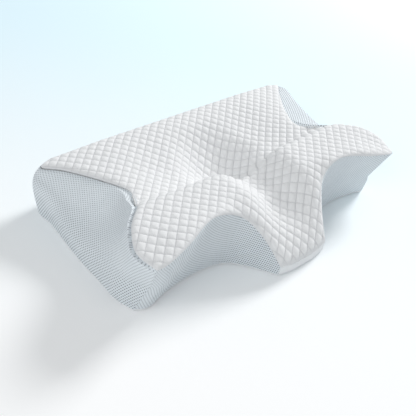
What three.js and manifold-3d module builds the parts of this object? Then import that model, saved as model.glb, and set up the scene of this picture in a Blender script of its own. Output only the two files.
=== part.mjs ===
// A butterfly-shaped contour pillow for the neck, in its zip-off cover.
//
// Millimetres, +Z up, standing on z = 0. +X runs along the length and +Y towards the
// straight back edge. The pillow is symmetric about x = 0, apart from its zip and label and
// from how far the corner under each wing tip is drawn in.
//
// From the outside in: a padded quilted top, knitted air-mesh walls and a smooth bottom,
// which zip off; a thin sewn liner in two halves; and one moulded block of memory foam.
// Every layer follows one closed surface, the grid below, at its own depth under it.

import * as THREE from 'three';
import { mergeVertices } from 'three/addons/utils/BufferGeometryUtils.js';
import Module from 'manifold-3d';

const wasm = await Module();
wasm.setup();

// ---- Driving dimensions ----------------------------------------------------------------

const HALF_LENGTH = 300; // half the length of the base
const BACK_Y = 186; // outer face of the upright back wall
const FRONT_Y = -190; // front of the neck lobe

const WING_HEIGHT = 123; // crest of the two wings
const BACK_HEIGHT = 104; // crest of the roll along the back edge
const BACK_END_DROP = 7; // how much lower the roll is at its two ends
const VALLEY_HEIGHT = 80; // the dip between the back roll and a wing, near the head
const VALLEY_END_RISE = 14; // how much higher that dip is at the side notch
const CHANNEL_DEPTH = 36; // depth of the head hollow and neck channel under the wings
// The head hollow dips by HOLLOW_DEPTH more, in a bowl that fades over HOLLOW_WIDTH and HOLLOW_LENGTH.
const HOLLOW_DEPTH = 12;
const HOLLOW_Y = 20;
const HOLLOW_WIDTH = 62;
const HOLLOW_LENGTH = 32;
const LOBE_FALL = 98; // how far the neck lobe slopes down to its front edge
const TIP_FALL = 18; // how far a wing droops towards its tip

const BASE_EDGE_HEIGHT = 5; // where the walls meet the rounded edge of the bottom
const END_BULGE = 16; // how far the knee of an end wall stands out from the base
const END_ROUNDING = 36; // how far from the back wall an end wall reaches its full bulge
const END_KNEE_RISE = 83; // how much higher that knee is at the back than at the front
const END_FRONT_Y = -117; // where the knee begins to rise
const END_DEPTH = 290; // how far towards the back it rises

const QUILT_THICKNESS = 4;
const MESH_THICKNESS = 2.5;
const BOTTOM_THICKNESS = 1.5;
const LINER_THICKNESS = 0.8;
const LAYER_GAP = 2.2; // clearance between one layer and the next

const ZIP_HEIGHT = 23; // centre line of the zip above the floor
const ZIP_HALF_LENGTH = 225; // half the length of the two coils
const TAPE_WIDTH = 10; // centre line of the zip to the outer edge of a tape
const CLEARANCE = 0.3; // gap between parts that touch

// ---- The rim ---------------------------------------------------------------------------

// Half of the rim, x >= 0. A station pairs a point of the upper seam with the point of the
// bottom edge under it, and the rim runs smoothly through the stations of each stretch.
const BACK_CORNER = { top: [262, 181, 93], base: [262, BACK_Y] };
const WING_TIP = { top: [279, -138, 100], base: [295, -110] };
const LOBE_CORNER = { top: [56, -185, 22], base: [57, -184] };

const SIDE_STATIONS = [
  BACK_CORNER,
  { top: [285, 172, 89], base: [298, 163] },
  { top: [260, 141, 91], base: [297, 125] },
  { top: [219, 82, 90], base: [HALF_LENGTH, 80] },
  { top: [201, 36, 93], base: [303, 40] }, // the side notch
  { top: [224, -12, 107], base: [304, -2] },
  { top: [267, -56, 116], base: [303, -50] },
  { top: [288, -98, 107], base: [302, -91] },
  WING_TIP,
];
const ARM_STATIONS = [
  WING_TIP,
  { top: [262, -141, 105], base: [276, -119] },
  { top: [219, -132, 111], base: [234, -109] },
  { top: [150, -111, 119], base: [168, -103] }, // the deepest point of the arm cut-out
  { top: [100, -119, 103], base: [112, -113] },
  { top: [73, -148, 70], base: [84, -142] },
  LOBE_CORNER,
];
const LOBE_STATIONS = [
  LOBE_CORNER,
  { top: [30, FRONT_Y + 1, 19], base: [30, FRONT_Y + 1] },
  { top: [0, FRONT_Y, 18], base: [0, FRONT_Y] },
];

// Under each wing tip the front corner of the walls is drawn in towards the middle: at the
// base, and by more at the heights given, where the walls fold.
const TUCK_HEIGHTS = [BASE_EDGE_HEIGHT, 38, 50, 100];
const TUCKS = {
  right: { base: 24, wall: [0, 12, 20, 0] },
  left: { base: 0, wall: [0, 5, 10, 0] },
};
const TUCK_REACH = 42; // how far round the base from the corner the walls follow it
const TUCK_DIRECTION = new THREE.Vector3(-1, 0.3, 0); // for the right corner

const BACK_SPANS = 4; // grid cells along half of the straight back
const SPANS_PER_STATION = 2; // grid cells between two stations of a curved stretch

// ---- The surface of the top ------------------------------------------------------------

// 0 before from, 1 after to, and a smooth ramp between; from may be larger than to.
function ramp(value, from, to) {
  return THREE.MathUtils.smoothstep((value - from) / (to - from), 0, 1);
}

// Height of the padded top over the point x, y, before its edge is rounded down.
function crownHeight(x, y) {
  const side = Math.abs(x);
  const valley = VALLEY_HEIGHT + VALLEY_END_RISE * ramp(side, 90, 200);
  const back = BACK_HEIGHT - BACK_END_DROP * ramp(side, 150, 290);
  let height = valley;
  height += (WING_HEIGHT - valley) * ramp(y, 12, -38);
  height += (back - valley) * ramp(y, 40, 160);
  const channelHalfWidth = 75 + 30 * Math.exp(-(((y - 28) / 50) ** 2));
  const channelLength = ramp(y, FRONT_Y, -95) * (1 - ramp(y, 35, 140));
  height -= CHANNEL_DEPTH * channelLength * (1 - ramp(side, 5, channelHalfWidth));
  const downLobe = Math.max(0, (-85 - y) / (-85 - FRONT_Y));
  height -= LOBE_FALL * downLobe ** 1.5 * (1 - ramp(side, 95, 135));
  height -= TIP_FALL * ramp(side, 180, 300) * ramp(y, -50, -140);
  height -= HOLLOW_DEPTH * Math.exp(-((x / HOLLOW_WIDTH) ** 2) - ((y - HOLLOW_Y) / HOLLOW_LENGTH) ** 2);
  return height;
}

// A point of the top, from the centre (reach 0) out to the seam point (reach 1).
// Near the seam the top rounds down to it in a quarter circle.
function topPoint(seam, reach) {
  const x = seam.x * reach;
  const y = seam.y * reach;
  const distance = (1 - reach) * Math.hypot(seam.x, seam.y);
  const edgeRadius = 14 + 16 * ramp(seam.y, 150, 180);
  const inEdge = Math.max(0, 1 - distance / edgeRadius);
  const rounding = 1 - Math.sqrt(1 - inEdge ** 2);
  const overshoot = crownHeight(seam.x, seam.y) - seam.z;
  return new THREE.Vector3(x, y, crownHeight(x, y) - overshoot * rounding);
}

// ---- The surface of the walls ----------------------------------------------------------

// A conic from start to end, drawn towards knee: a larger pull gives a tighter bend.
function conicPoint(start, knee, end, pull, along) {
  const back = 1 - along;
  const weights = [back * back, 2 * pull * back * along, along * along];
  const total = weights[0] + weights[1] + weights[2];
  return new THREE.Vector3()
    .addScaledVector(start, weights[0] / total)
    .addScaledVector(knee, weights[1] / total)
    .addScaledVector(end, weights[2] / total);
}

// The back wall stands upright and turns in just under its seam.
function backWallPoint(seam, base, along) {
  const knee = new THREE.Vector3(base.x, BACK_Y, 80);
  return conicPoint(seam, knee, base, 2.5, along);
}

// An end wall is stretched flat from a straight fold, which falls from the back corner
// to the front corner, up to the seam: under the fold it stands upright.
function endWallPoint(seam, base, along) {
  const towardsBack = THREE.MathUtils.clamp((base.y - END_FRONT_Y) / END_DEPTH, 0, 1);
  const kneeHeight = BASE_EDGE_HEIGHT + END_KNEE_RISE * towardsBack;
  const bulge = END_BULGE * ramp(base.y, BACK_Y, BACK_Y - END_ROUNDING);
  const knee = new THREE.Vector3(base.x + bulge, base.y, kneeHeight);
  return conicPoint(seam, knee, base, 2.5, along);
}

// The walls of the arm cut-outs and of the lobe run straight down, a little full.
function armWallPoint(seam, base, along) {
  const knee = new THREE.Vector3().addVectors(seam, base).multiplyScalar(0.5);
  knee.y -= 3 * ramp(seam.z, 20, 60);
  return conicPoint(seam, knee, base, 1, along);
}

// How far a wall is drawn in at a height, for one of the lists of depths.
function tuckDepth(height, depths) {
  let index = 0;
  while (index + 2 < TUCK_HEIGHTS.length && height > TUCK_HEIGHTS[index + 1]) {
    index += 1;
  }
  const [low, high] = [TUCK_HEIGHTS[index], TUCK_HEIGHTS[index + 1]];
  const share = THREE.MathUtils.clamp((height - low) / (high - low), 0, 1);
  return depths[index] + (depths[index + 1] - depths[index]) * share;
}

// How far along the back wall its height above the floor is z.
function alongBackWall(seam, base, z) {
  let low = 0;
  let high = 1;
  for (let step = 0; step < 30; step += 1) {
    const middle = (low + high) / 2;
    if (backWallPoint(seam, base, middle).z > z) {
      low = middle;
    } else {
      high = middle;
    }
  }
  return low;
}

// ---- The grid --------------------------------------------------------------------------

// Splits a stretch of rim stations into evenly numbered grid stations, leaving out the last.
// Each takes its share of the tuck under the wing tip on its hand.
function sampleStretch(stations, wallPoint, hand) {
  const seams = stations.map((station) => new THREE.Vector3(...station.top));
  const bases = stations.map((station) => new THREE.Vector3(...station.base, BASE_EDGE_HEIGHT));
  const seamCurve = new THREE.CatmullRomCurve3(seams, false, 'centripetal');
  const baseCurve = new THREE.CatmullRomCurve3(bases, false, 'centripetal');
  const corner = new THREE.Vector3(...WING_TIP.base, BASE_EDGE_HEIGHT);
  const spans = (stations.length - 1) * SPANS_PER_STATION;
  const samples = [];
  for (let index = 0; index < spans; index += 1) {
    const seam = seamCurve.getPoint(index / spans);
    const base = baseCurve.getPoint(index / spans);
    const nearCorner = Math.exp(-((base.distanceTo(corner) / TUCK_REACH) ** 2));
    base.addScaledVector(TUCK_DIRECTION, TUCKS[hand].base * nearCorner);
    samples.push({ seam, base, wallPoint, nearCorner, hand });
  }
  return samples;
}

// The straight back, from its middle up to the back corner.
function sampleBack(hand) {
  const samples = [];
  for (let index = 0; index < BACK_SPANS; index += 1) {
    const x = (BACK_CORNER.top[0] * index) / BACK_SPANS;
    const seam = new THREE.Vector3(x, BACK_CORNER.top[1], BACK_CORNER.top[2]);
    const base = new THREE.Vector3(x, BACK_Y, BASE_EDGE_HEIGHT);
    samples.push({ seam, base, wallPoint: backWallPoint, nearCorner: 0, hand });
  }
  return samples;
}

const lobeMiddle = {
  seam: new THREE.Vector3(...LOBE_STATIONS.at(-1).top),
  base: new THREE.Vector3(...LOBE_STATIONS.at(-1).base, BASE_EDGE_HEIGHT),
  wallPoint: armWallPoint,
  nearCorner: 0,
  hand: 'right',
};

// Half of the rim, drawn at x >= 0, from the middle of the back to the middle of the lobe.
function sampleHalf(hand) {
  const side = sampleStretch(SIDE_STATIONS, endWallPoint, hand);
  side[0].wallPoint = backWallPoint;
  const arm = sampleStretch(ARM_STATIONS, armWallPoint, hand);
  const lobe = sampleStretch(LOBE_STATIONS, armWallPoint, hand);
  return { all: [...sampleBack(hand), ...side, ...arm, ...lobe], side, arm };
}

// The same grid station on the other side of x = 0.
function mirrored(sample) {
  const flip = new THREE.Vector3(-1, 1, 1);
  return {
    ...sample,
    seam: sample.seam.clone().multiply(flip),
    base: sample.base.clone().multiply(flip),
  };
}

// Once round the rim: middle of the back, right side, middle of the lobe, left side.
const rightHalf = sampleHalf('right');
const leftHalf = sampleHalf('left').all.slice(1).reverse().map(mirrored);
const rim = [...rightHalf.all, lobeMiddle, ...leftHalf];
const rimCount = rim.length;

// Places round the rim where one panel ends and the next begins.
const CORNER_RIGHT = BACK_SPANS;
const TIP_RIGHT = CORNER_RIGHT + rightHalf.side.length;
const LOBE_RIGHT = TIP_RIGHT + rightHalf.arm.length;
const LOBE_LEFT = rimCount - LOBE_RIGHT;
const TIP_LEFT = rimCount - TIP_RIGHT;
const CORNER_LEFT = rimCount - CORNER_RIGHT;

// A point of a wall. A left wall is worked out as a right one and mirrored.
function wallOf(sample, along) {
  const isLeft = sample.hand === 'left';
  const { seam, base } = isLeft ? mirrored(sample) : sample;
  const point = sample.wallPoint(seam, base, along);
  const depth = tuckDepth(point.z, TUCKS[sample.hand].wall) * sample.nearCorner;
  point.addScaledVector(TUCK_DIRECTION, depth);
  point.x *= isLeft ? -1 : 1;
  return point;
}

// Positions of the wall rings. The back wall's last two are where the zip's tapes begin and end.
const WALL_STEPS = [0.2, 0.38, 0.52, 0.64, 0.84];
const BACK_WALL_HEIGHTS = [
  80,
  66,
  50,
  ZIP_HEIGHT + TAPE_WIDTH + CLEARANCE,
  ZIP_HEIGHT - TAPE_WIDTH - CLEARANCE,
];

function wallSteps(sample) {
  if (sample.wallPoint !== backWallPoint) {
    return WALL_STEPS;
  }
  return BACK_WALL_HEIGHTS.map((height) => alongBackWall(sample.seam, sample.base, height));
}

const TOP_REACHES = [0.12, 0.24, 0.36, 0.48, 0.6, 0.71, 0.81, 0.89, 0.94];
const SEAM_RING = TOP_REACHES.length;
const BASE_RING = SEAM_RING + WALL_STEPS.length + 1;
const ZIP_RING = SEAM_RING + BACK_WALL_HEIGHTS.length - 1; // upper edge of the zip's opening

// The rounded edge of the bottom and its flat: inset from the base edge, and height.
const BOTTOM_EDGE = [
  { inset: 2, height: 1.4 },
  { inset: 8, height: 0 },
];
const BOTTOM_MIDDLE_REACH = 0.5;

// One column of the surface grid, from near the centre of the top to near that of the bottom.
function gridColumn(sample) {
  const { seam, base } = sample;
  const column = TOP_REACHES.map((reach) => topPoint(seam, reach));
  column.push(seam.clone());
  column.push(...wallSteps(sample).map((along) => wallOf(sample, along)));
  column.push(base.clone());
  const distance = Math.hypot(base.x, base.y);
  for (const { inset, height } of BOTTOM_EDGE) {
    const reach = 1 - inset / distance;
    column.push(new THREE.Vector3(base.x * reach, base.y * reach, height));
  }
  column.push(new THREE.Vector3(base.x * BOTTOM_MIDDLE_REACH, base.y * BOTTOM_MIDDLE_REACH, 0));
  return column;
}

const grid = rim.map(gridColumn);
const ringCount = grid[0].length;
const LAST_RING = ringCount - 1;
const topCentre = new THREE.Vector3(0, 0, crownHeight(0, 0));
const bottomCentre = new THREE.Vector3(0, 0, 0);

// Outward normal of the grid at a column and ring.
function gridNormal(columnIndex, ring) {
  const before = grid[(columnIndex + rimCount - 1) % rimCount][ring];
  const after = grid[(columnIndex + 1) % rimCount][ring];
  const column = grid[columnIndex];
  const above = ring === 0 ? topCentre : column[ring - 1];
  const below = ring === LAST_RING ? bottomCentre : column[ring + 1];
  const round = new THREE.Vector3().subVectors(after, before);
  const down = new THREE.Vector3().subVectors(below, above);
  return round.cross(down).normalize();
}

const normals = grid.map((column, index) => column.map((_, ring) => gridNormal(index, ring)));

// Grid point at a column and a ring that may lie between two rings, depth under the surface.
function layerPoint(columnIndex, ring, depth) {
  const column = ((columnIndex % rimCount) + rimCount) % rimCount;
  const low = Math.min(Math.floor(ring), LAST_RING - 1);
  const share = ring - low;
  const point = grid[column][low].clone().lerp(grid[column][low + 1], share);
  const normal = normals[column][low].clone().lerp(normals[column][low + 1], share).normalize();
  return point.addScaledVector(normal, -depth);
}

// The same, at a place round the rim that may lie between two columns.
function surfacePoint(place, ring, depth) {
  const low = Math.floor(place);
  const share = place - low;
  const point = layerPoint(low, ring, depth);
  return share > 0 ? point.lerp(layerPoint(low + 1, ring, depth), share) : point;
}

// How deep the liner's outer face lies: under the quilt, the mesh or the bottom fabric.
function linerDepth(ring) {
  if (ring <= SEAM_RING) {
    return QUILT_THICKNESS + LAYER_GAP;
  }
  return ring <= BASE_RING ? MESH_THICKNESS + LAYER_GAP : BOTTOM_THICKNESS + LAYER_GAP;
}

// ---- Solids from the grid --------------------------------------------------------------

function isOnLeft(place) {
  return Math.floor(place) % rimCount >= rimCount / 2;
}

// Collects quads and triangles into one welded geometry.
class SolidBuilder {
  constructor() {
    this.corners = [];
  }

  triangle(a, b, c) {
    this.corners.push(a, b, c);
  }

  quad(a, b, c, d) {
    this.triangle(a, b, c);
    this.triangle(a, c, d);
  }

  // A sheet of points, rows[ring][index], facing out, or in when flipped. The quads on the
  // left are split along the other diagonal, so that the two halves are mirror images.
  sheet(rows, flipped, places = []) {
    for (let ring = 0; ring + 1 < rows.length; ring += 1) {
      for (let index = 0; index + 1 < rows[ring].length; index += 1) {
        const a = rows[ring][index];
        const b = rows[ring + 1][index];
        const c = rows[ring + 1][index + 1];
        const d = rows[ring][index + 1];
        const around = flipped ? [a, b, c, d] : [a, d, c, b];
        if (isOnLeft(places[index] ?? 0)) {
          around.push(around.shift());
        }
        this.quad(...around);
      }
    }
  }

  // Closes a ring of points to one point.
  fan(ringPoints, centre, flipped) {
    for (let place = 0; place + 1 < ringPoints.length; place += 1) {
      if (flipped) {
        this.triangle(centre, ringPoints[place], ringPoints[place + 1]);
      } else {
        this.triangle(centre, ringPoints[place + 1], ringPoints[place]);
      }
    }
  }

  geometry() {
    const positions = this.corners.flatMap((corner) => corner.toArray());
    const loose = new THREE.BufferGeometry();
    loose.setAttribute('position', new THREE.Float32BufferAttribute(positions, 3));
    const welded = mergeVertices(loose, 1e-4);
    welded.computeVertexNormals();
    return welded;
  }
}

// Rows of layer points for a list of rings and of places.
function layerRows(rings, places, depthOf) {
  return rings.map((ring) => places.map((place) => surfacePoint(place, ring, depthOf(ring))));
}

const wholeRim = Array.from({ length: rimCount + 1 }, (_, index) => index);
const TRIM = 0.05; // share of a grid cell that a panel stops short of its neighbour

// Rings from one to another, trimmed at both ends where asked.
function ringsBetween(first, last, trimFirst, trimLast) {
  const rings = Array.from({ length: last - first + 1 }, (_, index) => first + index);
  rings[0] += trimFirst;
  rings[rings.length - 1] -= trimLast;
  return rings;
}

// Places from one panel end to another, trimmed at both ends.
function placesBetween(first, last) {
  return ringsBetween(first, last, TRIM, TRIM);
}

// A four-sided panel of cloth between two places and two rings.
function panelGeometry(rings, places, thickness) {
  const outer = layerRows(rings, places, () => 0);
  const inner = layerRows(rings, places, () => thickness);
  const builder = new SolidBuilder();
  builder.sheet(outer, false, places);
  builder.sheet(inner, true, places);
  builder.sheet([inner[0], outer[0]], false);
  builder.sheet([outer.at(-1), inner.at(-1)], false);
  const columnOf = (rows, place) => rows.map((row) => row.at(place));
  const sideStrip = (place) => {
    const outerColumn = columnOf(outer, place);
    const innerColumn = columnOf(inner, place);
    return outerColumn.map((point, ring) => [point, innerColumn[ring]]);
  };
  builder.sheet(sideStrip(0).map(([o, i]) => [i, o]), false);
  builder.sheet(sideStrip(-1), false);
  return builder.geometry();
}

// A cap that closes over the centre of the top or of the bottom.
function capGeometry(rings, outerDepth, innerDepth, overTop) {
  const outer = layerRows(rings, wholeRim, outerDepth);
  const inner = layerRows(rings, wholeRim, innerDepth);
  const builder = new SolidBuilder();
  builder.sheet(outer, false, wholeRim);
  builder.sheet(inner, true, wholeRim);
  const centre = overTop ? topCentre : bottomCentre;
  const closedRing = overTop ? 0 : outer.length - 1;
  const openRing = overTop ? outer.length - 1 : 0;
  const poleDepth = (depthOf) => depthOf(rings[closedRing]) * (overTop ? 1 : -1);
  const outerCentre = centre.clone();
  outerCentre.z -= poleDepth(outerDepth);
  const innerCentre = centre.clone();
  innerCentre.z -= poleDepth(innerDepth);
  builder.fan(outer[closedRing], outerCentre, !overTop);
  builder.fan(inner[closedRing], innerCentre, overTop);
  if (overTop) {
    builder.sheet([outer[openRing], inner[openRing]], false);
  } else {
    builder.sheet([inner[openRing], outer[openRing]], false);
  }
  return builder.geometry();
}

// The closed block of foam inside everything.
function foamGeometry() {
  const depthOf = (ring) => linerDepth(ring) + LINER_THICKNESS + LAYER_GAP;
  const rings = ringsBetween(0, LAST_RING, 0, 0);
  const rows = layerRows(rings, wholeRim, depthOf);
  const builder = new SolidBuilder();
  builder.sheet(rows, false, wholeRim);
  const top = topCentre.clone();
  top.z -= depthOf(0);
  const bottom = bottomCentre.clone();
  bottom.z += depthOf(LAST_RING);
  builder.fan(rows[0], top, false);
  builder.fan(rows.at(-1), bottom, true);
  return builder.geometry();
}

// ---- Materials -------------------------------------------------------------------------

function cloth(color) {
  return new THREE.MeshStandardMaterial({ color, roughness: 0.95, metalness: 0 });
}

const quiltCloth = cloth(0xf3f3f3);
const meshCloth = cloth(0xb9c1c9);
const smoothCloth = cloth(0xf0f1f3);
const linerCloth = cloth(0xf7f7f5);
const memoryFoam = cloth(0xf4efdf);
const labelCloth = cloth(0xfafafa);
const coilPlastic = new THREE.MeshStandardMaterial({ color: 0xe9ebee, roughness: 0.5 });
const zipMetal = new THREE.MeshStandardMaterial({ color: 0xc6c8cc, roughness: 0.3, metalness: 1 });

const pillow = new THREE.Group();

function addPiece(name, geometry, material, position = [0, 0, 0]) {
  const piece = new THREE.Mesh(geometry, material);
  piece.name = name;
  piece.position.set(...position);
  pillow.add(piece);
  return piece;
}

// ---- Foam and liner --------------------------------------------------------------------

addPiece('foam_core', foamGeometry(), memoryFoam);

const linerInnerDepth = (ring) => linerDepth(ring) + LINER_THICKNESS;
const LINER_SEAM_RING = SEAM_RING + 3; // the liner's halves meet half way down the walls
const linerTopRings = ringsBetween(0, LINER_SEAM_RING, 0, TRIM);
const linerBottomRings = ringsBetween(LINER_SEAM_RING, LAST_RING, TRIM, 0);
addPiece('liner_top', capGeometry(linerTopRings, linerDepth, linerInnerDepth, true), linerCloth);
addPiece(
  'liner_bottom',
  capGeometry(linerBottomRings, linerDepth, linerInnerDepth, false),
  linerCloth,
);

// ---- Cover -----------------------------------------------------------------------------

const topRings = ringsBetween(0, SEAM_RING, 0, TRIM);
addPiece('quilted_top', capGeometry(topRings, () => 0, () => QUILT_THICKNESS, true), quiltCloth);

const bottomRings = ringsBetween(BASE_RING, LAST_RING, TRIM, 0);
addPiece(
  'bottom_panel',
  capGeometry(bottomRings, () => 0, () => BOTTOM_THICKNESS, false),
  smoothCloth,
);

const wallRings = ringsBetween(SEAM_RING, BASE_RING, TRIM, TRIM);
function addWall(name, first, last, material) {
  const places = placesBetween(first, last);
  addPiece(name, panelGeometry(wallRings, places, MESH_THICKNESS), material);
}
addWall('side_panel_right', CORNER_RIGHT, TIP_RIGHT, meshCloth);
addWall('front_panel_right', TIP_RIGHT, LOBE_RIGHT, meshCloth);
addWall('lobe_band', LOBE_RIGHT, LOBE_LEFT, smoothCloth);
addWall('front_panel_left', LOBE_LEFT, TIP_LEFT, meshCloth);
addWall('side_panel_left', TIP_LEFT, CORNER_LEFT, meshCloth);

// The back panel is in two strips with the zip between them.
const backPlaces = placesBetween(CORNER_LEFT, rimCount + CORNER_RIGHT);
const upperStripRings = ringsBetween(SEAM_RING, ZIP_RING, TRIM, 0);
const lowerStripRings = ringsBetween(ZIP_RING + 1, BASE_RING, 0, TRIM);
addPiece(
  'back_panel_upper',
  panelGeometry(upperStripRings, backPlaces, MESH_THICKNESS),
  meshCloth,
);
addPiece(
  'back_panel_lower',
  panelGeometry(lowerStripRings, backPlaces, MESH_THICKNESS),
  meshCloth,
);

// ---- Zip -------------------------------------------------------------------------------

// The zip lies in the back wall: distances outward are measured from the wall's outer face.
const COIL_NEAR = 0.8; // inner edge of a coil, from the zip's centre line
const COIL_FAR = 3; // outer edge of a coil
const COIL_OUT = [-1.4, 0.2]; // a coil's inner and outer face
const TAPE_OUT = [-0.9, -0.3];
const TAPE_HALF_LENGTH = 258;
const STOP_OUT = [-1.6, 0.5];
const TOP_STOP_LENGTH = 4;
const BOTTOM_STOP_LENGTH = 5;

// A box between two corners given as [x, outward, up from the zip's centre line].
function zipBox(low, high) {
  const size = high.map((value, axis) => value - low[axis]);
  const geometry = new THREE.BoxGeometry(...size);
  const centre = high.map((value, axis) => (value + low[axis]) / 2);
  geometry.translate(centre[0], BACK_Y + centre[1], ZIP_HEIGHT + centre[2]);
  return geometry;
}

for (const [side, sign] of [['upper', 1], ['lower', -1]]) {
  const between = (near, far) => (sign > 0 ? [near, far] : [-far, -near]);
  const [tapeLow, tapeHigh] = between(COIL_FAR + CLEARANCE, TAPE_WIDTH);
  const tape = zipBox(
    [-TAPE_HALF_LENGTH, TAPE_OUT[0], tapeLow],
    [TAPE_HALF_LENGTH, TAPE_OUT[1], tapeHigh],
  );
  addPiece(`zipper_tape_${side}`, tape, smoothCloth);
  const [coilLow, coilHigh] = between(COIL_NEAR, COIL_FAR);
  const coil = zipBox(
    [-ZIP_HALF_LENGTH, COIL_OUT[0], coilLow],
    [ZIP_HALF_LENGTH, COIL_OUT[1], coilHigh],
  );
  addPiece(`zipper_coil_${side}`, coil, coilPlastic);
  const stopStart = ZIP_HALF_LENGTH + CLEARANCE;
  const stopEnd = stopStart + TOP_STOP_LENGTH;
  const stop = zipBox([stopStart, STOP_OUT[0], coilLow], [stopEnd, STOP_OUT[1], coilHigh]);
  addPiece(`zipper_top_stop_${side}`, stop, zipMetal);
}
const bottomStopEnd = -ZIP_HALF_LENGTH - CLEARANCE;
addPiece(
  'zipper_bottom_stop',
  zipBox(
    [bottomStopEnd - BOTTOM_STOP_LENGTH, STOP_OUT[0], -COIL_FAR],
    [bottomStopEnd, STOP_OUT[1], COIL_FAR],
  ),
  zipMetal,
);

// The slider: two plates with the coils between them, joined by a thin post that runs in
// the slit between the coils, and a loop on the outer plate that holds the pull.
const SLIDER_HALF_LENGTH = 5.5;
const SLIDER_HALF_WIDTH = 4.5;
const PLATE_INNER = [-2.4, -1.7];
const PLATE_OUTER = [0.7, 1.4];
const LOOP_BAR = [3.1, 4];
const LOOP_LEG = [3.2, 4.2];
const LOOP_HALF_WIDTH = 0.5;
const POST = [2.6, 5]; // from the slider's middle towards the opening end
const POST_HALF_WIDTH = 0.45;
const SINK = 0.2; // how far joined solids run into one another
const SLIDER_X = ZIP_HALF_LENGTH - SLIDER_HALF_LENGTH - 0.5; // at the closed end

const PLATE_ROUNDING = 0.6; // corner radius of a plate, as a share of its half width

// A plate seen from behind: straight sides and round ends.
function plateShape(halfLength, halfWidth) {
  const shape = new THREE.Shape();
  const corner = halfWidth * PLATE_ROUNDING;
  shape.moveTo(-halfLength + corner, -halfWidth);
  shape.lineTo(halfLength - corner, -halfWidth);
  shape.quadraticCurveTo(halfLength, -halfWidth, halfLength, -halfWidth + corner);
  shape.lineTo(halfLength, halfWidth - corner);
  shape.quadraticCurveTo(halfLength, halfWidth, halfLength - corner, halfWidth);
  shape.lineTo(-halfLength + corner, halfWidth);
  shape.quadraticCurveTo(-halfLength, halfWidth, -halfLength, halfWidth - corner);
  shape.lineTo(-halfLength, -halfWidth + corner);
  shape.quadraticCurveTo(-halfLength, -halfWidth, -halfLength + corner, -halfWidth);
  return shape;
}

// Extrudes a shape drawn in x and z, from one distance outward to another.
function outwardExtrusion(shape, [near, far], x) {
  const geometry = new THREE.ExtrudeGeometry(shape, {
    depth: far - near,
    bevelEnabled: false,
    curveSegments: 4,
  });
  geometry.rotateX(Math.PI / 2);
  geometry.translate(x, BACK_Y + far, ZIP_HEIGHT);
  return geometry;
}

// ---- Boolean joins ---------------------------------------------------------------------

function toManifold(geometry) {
  const bare = geometry.clone();
  bare.deleteAttribute('normal');
  bare.deleteAttribute('uv');
  const welded = mergeVertices(bare, 1e-4);
  return new wasm.Manifold(new wasm.Mesh({
    numProp: 3,
    vertProperties: new Float32Array(welded.attributes.position.array),
    triVerts: new Uint32Array(welded.index.array),
  }));
}

function fromManifold(solid) {
  const { vertProperties, triVerts } = solid.getMesh();
  const geometry = new THREE.BufferGeometry();
  geometry.setAttribute('position', new THREE.BufferAttribute(vertProperties, 3));
  geometry.setIndex(new THREE.BufferAttribute(triVerts, 1));
  geometry.computeVertexNormals();
  return geometry;
}

function joined(geometries) {
  return fromManifold(geometries.map(toManifold).reduce((sum, next) => sum.add(next)));
}

function sliderBox(low, high) {
  const box = zipBox(low, high);
  box.translate(SLIDER_X, 0, 0);
  return box;
}

const sliderOutline = plateShape(SLIDER_HALF_LENGTH, SLIDER_HALF_WIDTH);
const sliderPieces = [
  outwardExtrusion(sliderOutline, PLATE_INNER, SLIDER_X),
  outwardExtrusion(sliderOutline, PLATE_OUTER, SLIDER_X),
  sliderBox(
    [POST[0], PLATE_INNER[0] + SINK, -POST_HALF_WIDTH],
    [POST[1], PLATE_OUTER[1] - SINK, POST_HALF_WIDTH],
  ),
  sliderBox(
    [-LOOP_LEG[1], LOOP_BAR[0], -LOOP_HALF_WIDTH],
    [LOOP_LEG[1], LOOP_BAR[1], LOOP_HALF_WIDTH],
  ),
];
for (const [near, far] of [LOOP_LEG, [-LOOP_LEG[1], -LOOP_LEG[0]]]) {
  sliderPieces.push(sliderBox(
    [near, PLATE_OUTER[0] + SINK, -LOOP_HALF_WIDTH],
    [far, LOOP_BAR[1] - SINK, LOOP_HALF_WIDTH],
  ));
}
addPiece('zipper_slider', joined(sliderPieces), zipMetal);

// The pull lies back along the closed coils, and its eye turns on the slider's loop.
const PULL_LENGTH = 27;
const PULL_HALF_WIDTH = 3;
const EYE_BAR = 0.35; // half the thickness of the bar that runs under the loop
const EYE_LENGTH = 5.65;
const EYE_HALF_WIDTH = 1.2;
const PULL_OUT = [1.95, 2.75];

const pullShape = plateShape((PULL_LENGTH + EYE_BAR) / 2, PULL_HALF_WIDTH);
const eyeShape = new THREE.Path();
const eyeEnd = (PULL_LENGTH - EYE_BAR) / 2 - EYE_BAR;
eyeShape.moveTo(eyeEnd, -EYE_HALF_WIDTH);
eyeShape.lineTo(eyeEnd - EYE_LENGTH, -EYE_HALF_WIDTH);
eyeShape.lineTo(eyeEnd - EYE_LENGTH, EYE_HALF_WIDTH);
eyeShape.lineTo(eyeEnd, EYE_HALF_WIDTH);
pullShape.holes.push(eyeShape);
const pullX = SLIDER_X - (PULL_LENGTH - EYE_BAR) / 2;
addPiece('zipper_pull', outwardExtrusion(pullShape, PULL_OUT, pullX), zipMetal);

// ---- Label -----------------------------------------------------------------------------

// A blank care label sewn into the back seam, lying on the back wall.
const LABEL = { left: -212, right: -182, top: 66, bottom: 40 };
addPiece(
  'care_label',
  zipBox(
    [LABEL.left, CLEARANCE, LABEL.bottom - ZIP_HEIGHT],
    [LABEL.right, 2 * CLEARANCE, LABEL.top - ZIP_HEIGHT],
  ),
  labelCloth,
);

export default pillow;
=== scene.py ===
"""A butterfly-shaped contour pillow for the neck, in its zip-off cover, drawn round its CAD frame.

Sizes are in millimetres until a mesh is made, and the axes are the CAD model's: +X along the
length, +Y towards the straight back edge, +Z up, with the pillow standing on z = 0. Every cloth
follows the same surface as the CAD model: a crowned top, walls hung from its rim, and a bottom.
"""

import math

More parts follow.
